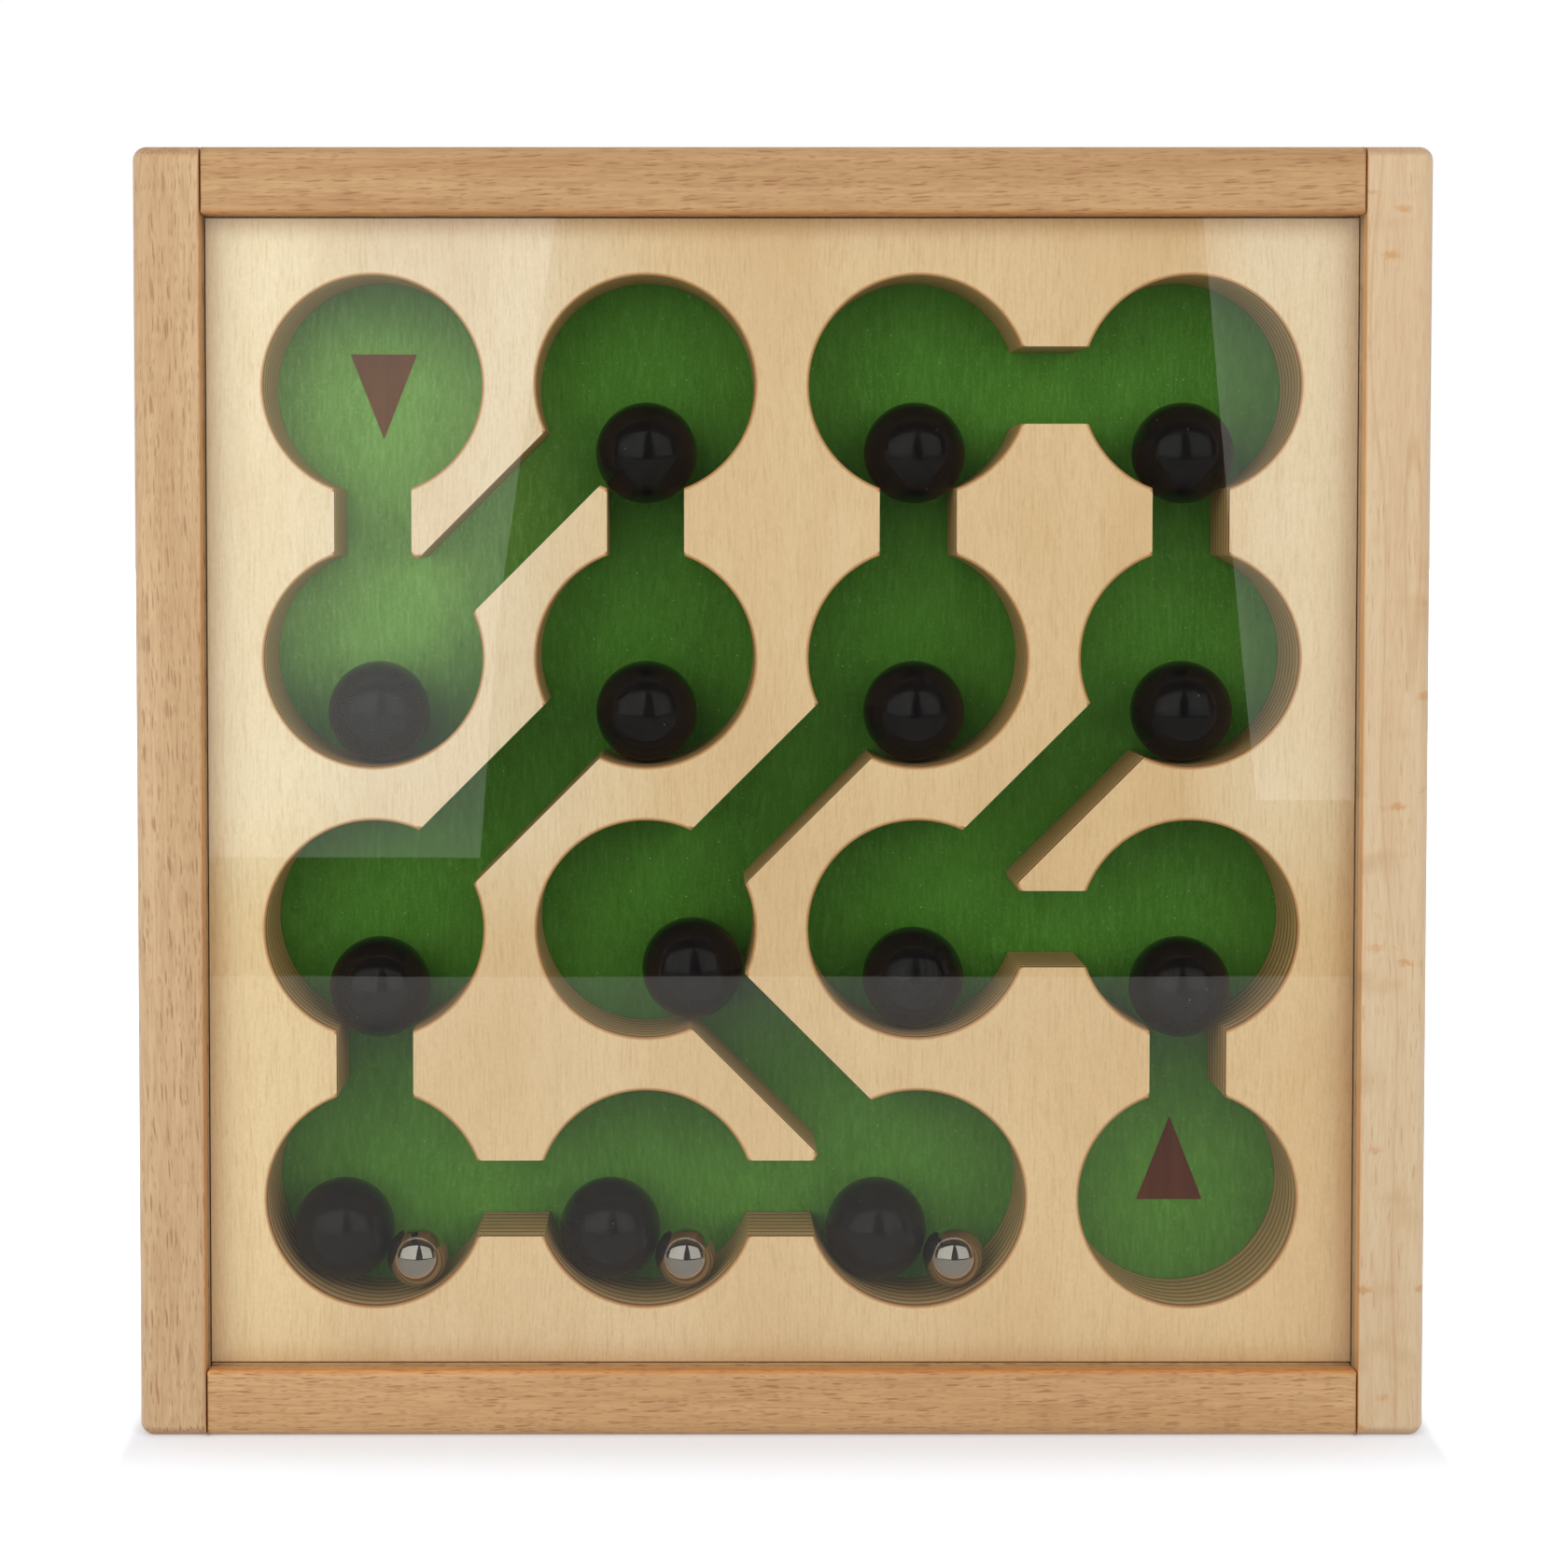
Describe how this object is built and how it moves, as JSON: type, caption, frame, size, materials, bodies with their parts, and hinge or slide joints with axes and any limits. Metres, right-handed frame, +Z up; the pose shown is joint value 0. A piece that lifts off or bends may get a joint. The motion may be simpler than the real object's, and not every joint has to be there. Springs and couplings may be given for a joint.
{
  "type": "labyrinth puzzle",
  "caption": "Square wooden labyrinth puzzle: a thick maze plate framed between a clear cover and a green base board, with black wooden and polished steel balls in its chambers.",
  "frame": {"origin": "middle of the bottom edge, on the plane that the puzzle stands on, halfway through its depth", "axes": "+Z up along the stiles, +X to the right seen from the front, the covered face looks along -Y"},
  "size_m": [0.25, 0.035, 0.25],
  "materials": {
    "beech_warm": "satin",
    "beech_pale": "satin",
    "beech_rail": "satin",
    "birch_plywood": "satin",
    "green_board": "stained, satin",
    "dowel_wood": "raw",
    "black_wood": "lacquered, satin",
    "polished_steel": "polished",
    "clear_acrylic": "clear, polished"
  },
  "bodies": {
    "frame": {"left_stile": "beech_warm", "right_stile": "beech_pale", "top_rail": "beech_rail", "bottom_rail": "beech_rail", "maze_plate": "birch_plywood", "base_board": "green_board", "cover_sheet": "clear_acrylic", "dowel_bottom_left_front": "dowel_wood", "dowel_bottom_left_back": "dowel_wood", "dowel_bottom_right_front": "dowel_wood", "dowel_bottom_right_back": "dowel_wood", "dowel_top_left_front": "dowel_wood", "dowel_top_left_back": "dowel_wood", "dowel_top_right_front": "dowel_wood", "dowel_top_right_back": "dowel_wood"},
    "black_ball_r1c2": {"black_ball_r1c2": "black_wood"},
    "black_ball_r1c3": {"black_ball_r1c3": "black_wood"},
    "black_ball_r1c4": {"black_ball_r1c4": "black_wood"},
    "black_ball_r3c1": {"black_ball_r3c1": "black_wood"},
    "black_ball_r3c2": {"black_ball_r3c2": "black_wood"},
    "black_ball_r3c4": {"black_ball_r3c4": "black_wood"},
    "black_ball_r2c1": {"black_ball_r2c1": "black_wood"},
    "black_ball_r2c2": {"black_ball_r2c2": "black_wood"},
    "black_ball_r2c3": {"black_ball_r2c3": "black_wood"},
    "black_ball_r2c4": {"black_ball_r2c4": "black_wood"},
    "black_ball_r3c3": {"black_ball_r3c3": "black_wood"},
    "black_ball_r4c1": {"black_ball_r4c1": "black_wood"},
    "steel_ball_r4c1": {"steel_ball_r4c1": "polished_steel"},
    "black_ball_r4c2": {"black_ball_r4c2": "black_wood"},
    "steel_ball_r4c2": {"steel_ball_r4c2": "polished_steel"},
    "black_ball_r4c3": {"black_ball_r4c3": "black_wood"},
    "steel_ball_r4c3": {"steel_ball_r4c3": "polished_steel"}
  },
  "joints": [
    {"name": "roll_black_r1c2", "type": "slide", "parent": "frame", "child": "black_ball_r1c2", "axis": [0, 0, 1], "range_m": [0, 0.02388]},
    {"name": "roll_black_r1c3", "type": "slide", "parent": "frame", "child": "black_ball_r1c3", "axis": [0, 0, 1], "range_m": [0, 0.02388]},
    {"name": "roll_black_r1c4", "type": "slide", "parent": "frame", "child": "black_ball_r1c4", "axis": [0, 0, 1], "range_m": [0, 0.02388]},
    {"name": "roll_black_r3c1", "type": "slide", "parent": "frame", "child": "black_ball_r3c1", "axis": [0, 0, 1], "range_m": [0, 0.02388]},
    {"name": "roll_black_r3c2", "type": "slide", "parent": "frame", "child": "black_ball_r3c2", "axis": [-0.7071, 0, 0.7071], "range_m": [0, 0.02388]},
    {"name": "roll_black_r3c4", "type": "slide", "parent": "frame", "child": "black_ball_r3c4", "axis": [0, 0, 1], "range_m": [0, 0.02388]},
    {"name": "roll_black_r2c1", "type": "hinge", "parent": "frame", "child": "black_ball_r2c1", "pos_m": [-0.0795, -0.0004, 0.1515], "axis": [0, 1, 0], "continuous": true},
    {"name": "roll_black_r2c2", "type": "hinge", "parent": "frame", "child": "black_ball_r2c2", "pos_m": [-0.0265, -0.0004, 0.1515], "axis": [0, 1, 0], "continuous": true},
    {"name": "roll_black_r2c3", "type": "hinge", "parent": "frame", "child": "black_ball_r2c3", "pos_m": [0.0265, -0.0004, 0.1515], "axis": [0, 1, 0], "continuous": true},
    {"name": "roll_black_r2c4", "type": "hinge", "parent": "frame", "child": "black_ball_r2c4", "pos_m": [0.0795, -0.0004, 0.1515], "axis": [0, 1, 0], "continuous": true},
    {"name": "roll_black_r3c3", "type": "hinge", "parent": "frame", "child": "black_ball_r3c3", "pos_m": [0.0265, -0.0004, 0.0985], "axis": [0, 1, 0], "continuous": true},
    {"name": "roll_black_r4c1", "type": "hinge", "parent": "frame", "child": "black_ball_r4c1", "pos_m": [-0.0795, -0.0004, 0.0455], "axis": [0, 1, 0], "range_deg": [0, 215.4]},
    {"name": "roll_steel_r4c1", "type": "hinge", "parent": "frame", "child": "steel_ball_r4c1", "pos_m": [-0.0795, -0.0004, 0.0455], "axis": [0, -1, 0], "range_deg": [0, 215.4]},
    {"name": "roll_black_r4c2", "type": "hinge", "parent": "frame", "child": "black_ball_r4c2", "pos_m": [-0.0265, -0.0004, 0.0455], "axis": [0, 1, 0], "range_deg": [0, 215.4]},
    {"name": "roll_steel_r4c2", "type": "hinge", "parent": "frame", "child": "steel_ball_r4c2", "pos_m": [-0.0265, -0.0004, 0.0455], "axis": [0, -1, 0], "range_deg": [0, 215.4]},
    {"name": "roll_black_r4c3", "type": "hinge", "parent": "frame", "child": "black_ball_r4c3", "pos_m": [0.0265, -0.0004, 0.0455], "axis": [0, 1, 0], "range_deg": [0, 215.4]},
    {"name": "roll_steel_r4c3", "type": "hinge", "parent": "frame", "child": "steel_ball_r4c3", "pos_m": [0.0265, -0.0004, 0.0455], "axis": [0, -1, 0], "range_deg": [0, 215.4]}
  ]
}
